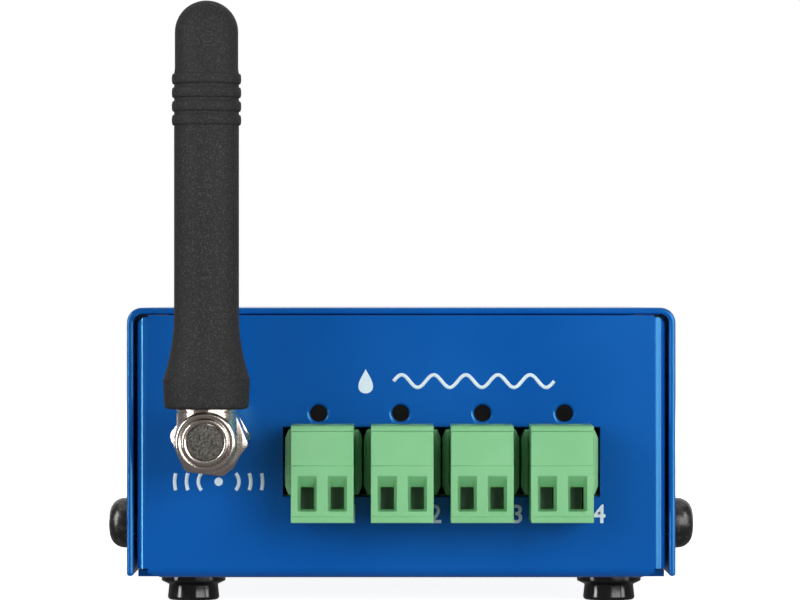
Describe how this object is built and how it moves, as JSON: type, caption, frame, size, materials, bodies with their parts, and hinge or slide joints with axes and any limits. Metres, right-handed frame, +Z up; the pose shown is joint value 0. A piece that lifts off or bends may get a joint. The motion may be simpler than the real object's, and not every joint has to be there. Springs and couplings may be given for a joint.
{
  "type": "leak detection controller",
  "caption": "Folded blue steel control box on rubber feet, with a swivelling stub antenna and plug-in screw terminals for water sensing cables.",
  "frame": {"origin": "on the resting plane, under the middle of the unit's bounding box, antenna included", "axes": "+X right as seen from the front, +Y from the front panel to the rear, +Z up"},
  "size_m": [0.07, 0.1013, 0.0704],
  "materials": {
    "blue_paint": "fine powder coat, half gloss",
    "black_screw": "black zinc, half gloss",
    "foot_rubber": "glossy moulded rubber",
    "board_green": "solder mask",
    "black_plastic": "moulded",
    "shield_steel": "tinned sheet",
    "nickel": "nickel plate",
    "white_insulator": "turned",
    "gold": "gold plate",
    "dark_cap": "rough, dark",
    "antenna_rubber": "matt moulded",
    "clear_pipe": "clear plastic",
    "light_lens": "unlit lens",
    "terminal_green": "moulded, fine grain",
    "tin": "tin plate"
  },
  "bodies": {
    "case": {"base_tray": "blue_paint", "top_cover": "blue_paint", "cover_screws": "black_screw", "rubber_feet": "foot_rubber", "main_board": "board_green", "board_guide_left": "black_plastic", "board_guide_right": "black_plastic", "radio_module": "shield_steel", "controller_chip": "black_plastic", "supply_inductor": "black_plastic", "power_jack": "black_plastic", "power_jack_pin": "nickel", "light_pipes": "clear_pipe", "antenna_jack": "nickel", "jack_insulator": "white_insulator", "jack_socket": "gold", "jack_nut": "nickel", "coupling_nut": "nickel", "status_led_1": "light_lens", "status_led_2": "light_lens", "status_led_3": "light_lens", "status_led_4": "light_lens", "header_1": "terminal_green", "header_pins_1": "tin", "header_2": "terminal_green", "header_pins_2": "tin", "header_3": "terminal_green", "header_pins_3": "tin", "header_4": "terminal_green", "header_pins_4": "tin"},
    "plug_1": {"plug_housing_1": "terminal_green", "plug_contacts_1": "tin", "plug_clamps_1": "tin", "plug_screws_1": "tin"},
    "plug_2": {"plug_housing_2": "terminal_green", "plug_contacts_2": "tin", "plug_clamps_2": "tin", "plug_screws_2": "tin"},
    "plug_3": {"plug_housing_3": "terminal_green", "plug_contacts_3": "tin", "plug_clamps_3": "tin", "plug_screws_3": "tin"},
    "plug_4": {"plug_housing_4": "terminal_green", "plug_contacts_4": "tin", "plug_clamps_4": "tin", "plug_screws_4": "tin"},
    "antenna": {"elbow_body": "nickel", "elbow_insulator": "white_insulator", "elbow_pin": "gold", "elbow_cap": "dark_cap", "antenna_sleeve": "antenna_rubber", "antenna_radiator": "board_green"}
  },
  "joints": [
    {"name": "plug_1_pull", "type": "slide", "parent": "case", "child": "plug_1", "axis": [0, -1, 0], "range_m": [0, 0.007]},
    {"name": "plug_2_pull", "type": "slide", "parent": "case", "child": "plug_2", "axis": [0, -1, 0], "range_m": [0, 0.007]},
    {"name": "plug_3_pull", "type": "slide", "parent": "case", "child": "plug_3", "axis": [0, -1, 0], "range_m": [0, 0.007]},
    {"name": "plug_4_pull", "type": "slide", "parent": "case", "child": "plug_4", "axis": [0, -1, 0], "range_m": [0, 0.007]},
    {"name": "antenna_swivel", "type": "hinge", "parent": "case", "child": "antenna", "pos_m": [-0.0223, -0.02935, 0.0199], "axis": [0, -1, 0], "range_deg": [-40, 90]}
  ]
}
